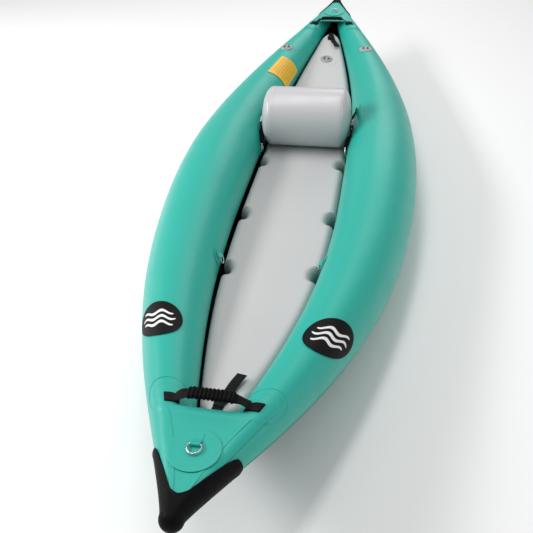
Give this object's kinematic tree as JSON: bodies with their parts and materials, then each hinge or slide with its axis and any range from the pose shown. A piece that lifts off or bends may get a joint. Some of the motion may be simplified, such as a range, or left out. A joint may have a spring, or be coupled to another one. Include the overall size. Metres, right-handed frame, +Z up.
{
  "type": "inflatable kayak",
  "caption": "One-seat inflatable kayak: two side tubes joined at pointed noses, an inflated floor with drain notches, a bolster backrest, and carry handles.",
  "frame": {"origin": "on the centre line midway between the noses, at the level of the tubes' flat bottom", "axes": "+X to the bow, +Y to port, +Z up"},
  "size_m": [3.1004, 0.8848, 0.3372],
  "materials": {
    "teal_pvc": "coated fabric, soft gloss",
    "grey_pvc": "coated fabric, satin",
    "black_pvc": "coated fabric, satin",
    "black_rubber": "moulded rubber, matte",
    "black_webbing": "woven webbing",
    "grey_plastic": "moulded plastic, satin",
    "black_plastic": "moulded plastic, satin",
    "steel": "polished stainless steel",
    "yellow_print": "printed film, satin"
  },
  "bodies": {
    "hull": {"port_tube": "teal_pvc", "starboard_tube": "teal_pvc", "floor_chamber": "grey_pvc", "bottom_sheet": "black_pvc", "bow_deck": "teal_pvc", "stern_deck": "teal_pvc", "bow_nose_cap": "black_rubber", "stern_nose_cap": "black_rubber", "bow_port_handle_anchor": "black_webbing", "bow_starboard_handle_anchor": "black_webbing", "stern_port_handle_anchor": "black_webbing", "stern_starboard_handle_anchor": "black_webbing", "bow_ring_patch": "teal_pvc", "stern_ring_patch": "teal_pvc", "bow_floor_strap": "black_webbing", "stern_floor_strap": "black_webbing", "port_seat_ring_patch": "teal_pvc", "starboard_seat_ring_patch": "teal_pvc", "port_thigh_ring_patch": "teal_pvc", "starboard_thigh_ring_patch": "teal_pvc", "port_seat_ring": "steel", "starboard_seat_ring": "steel", "port_valve_body": "grey_plastic", "starboard_valve_body": "grey_plastic", "floor_valve_body": "grey_plastic", "port_valve_spring": "steel", "starboard_valve_spring": "steel", "floor_valve_spring": "steel", "port_rear_strap": "black_webbing", "starboard_rear_strap": "black_webbing", "blank_label": "yellow_print", "port_badge": "black_pvc", "starboard_badge": "black_pvc"},
    "bow_handle": {"bow_handle_webbing": "black_webbing", "bow_handle_grip": "black_rubber"},
    "stern_handle": {"stern_handle_webbing": "black_webbing", "stern_handle_grip": "black_rubber"},
    "bow_ring": {"bow_ring": "steel"},
    "stern_ring": {"stern_ring": "steel"},
    "port_thigh_ring": {"port_thigh_ring": "steel"},
    "starboard_thigh_ring": {"starboard_thigh_ring": "steel"},
    "port_valve_stem": {"port_valve_stem": "grey_plastic"},
    "starboard_valve_stem": {"starboard_valve_stem": "grey_plastic"},
    "floor_valve_stem": {"floor_valve_stem": "grey_plastic"},
    "port_valve_cap": {"port_valve_cap": "grey_plastic"},
    "starboard_valve_cap": {"starboard_valve_cap": "grey_plastic"},
    "floor_valve_cap": {"floor_valve_cap": "grey_plastic"},
    "backrest": {"backrest_bolster": "grey_pvc", "bolster_valve_body": "grey_plastic", "port_backrest_ring": "steel", "starboard_backrest_ring": "steel", "port_backrest_ring_tab": "grey_pvc", "starboard_backrest_ring_tab": "grey_pvc", "port_seat_strap": "black_webbing", "starboard_seat_strap": "black_webbing", "port_strap_buckle": "black_plastic", "starboard_strap_buckle": "black_plastic"},
    "bolster_plug": {"bolster_valve_plug": "grey_plastic"}
  },
  "joints": [
    {"name": "bow_handle_swing", "type": "hinge", "parent": "hull", "child": "bow_handle", "pos_m": [1.25, 0, 0.28997], "axis": [0, 1, 0], "range_deg": [-55, 38], "deforming": ["bow_handle_webbing"]},
    {"name": "bow_ring_flip", "type": "hinge", "parent": "hull", "child": "bow_ring", "pos_m": [1.374, 0, 0.31155], "axis": [0, -1, 0], "range_deg": [0, 150]},
    {"name": "stern_handle_swing", "type": "hinge", "parent": "hull", "child": "stern_handle", "pos_m": [-1.25, 0, 0.28997], "axis": [0, 1, 0], "range_deg": [-38, 55], "deforming": ["stern_handle_webbing"]},
    {"name": "stern_ring_flip", "type": "hinge", "parent": "hull", "child": "stern_ring", "pos_m": [-1.374, 0, 0.31155], "axis": [0, 1, 0], "range_deg": [0, 150]},
    {"name": "port_thigh_ring_swing", "type": "hinge", "parent": "hull", "child": "port_thigh_ring", "pos_m": [0.59428, 0.15376, 0.15527], "axis": [-0.995, 0.0995, 0], "range_deg": [0, 140]},
    {"name": "starboard_thigh_ring_swing", "type": "hinge", "parent": "hull", "child": "starboard_thigh_ring", "pos_m": [0.59428, -0.15376, 0.15527], "axis": [0.995, 0.0995, 0], "range_deg": [0, 140]},
    {"name": "port_valve_push", "type": "slide", "parent": "hull", "child": "port_valve_stem", "axis": [0, 0, -1], "range_m": [0, 0.006], "stiffness_N_per_m": 300, "springref_m": -0.004, "deforming": ["port_valve_spring"]},
    {"name": "port_cap_twist", "type": "hinge", "parent": "hull", "child": "port_valve_cap", "pos_m": [-0.966, 0.19341, 0.25616], "axis": [0, 0, 1], "range_deg": [0, 90]},
    {"name": "starboard_valve_push", "type": "slide", "parent": "hull", "child": "starboard_valve_stem", "axis": [0, 0, -1], "range_m": [0, 0.006], "stiffness_N_per_m": 300, "springref_m": -0.004, "deforming": ["starboard_valve_spring"]},
    {"name": "starboard_cap_twist", "type": "hinge", "parent": "hull", "child": "starboard_valve_cap", "pos_m": [-0.966, -0.19341, 0.25616], "axis": [0, 0, 1], "range_deg": [0, 90]},
    {"name": "floor_valve_push", "type": "slide", "parent": "hull", "child": "floor_valve_stem", "axis": [0, 0, -1], "range_m": [0, 0.006], "stiffness_N_per_m": 300, "springref_m": -0.004, "deforming": ["floor_valve_spring"]},
    {"name": "floor_cap_twist", "type": "hinge", "parent": "hull", "child": "floor_valve_cap", "pos_m": [-1.02, 0, 0.18068], "axis": [0, 0, 1], "range_deg": [0, 90]},
    {"name": "backrest_lift", "type": "hinge", "parent": "hull", "child": "backrest", "pos_m": [-0.16549, 0, 0.14623], "axis": [0, 1, 0], "range_deg": [0, 18]},
    {"name": "bolster_plug_pull", "type": "slide", "parent": "backrest", "child": "bolster_plug", "axis": [-1, 0, 0], "range_m": [0, 0.008]}
  ]
}
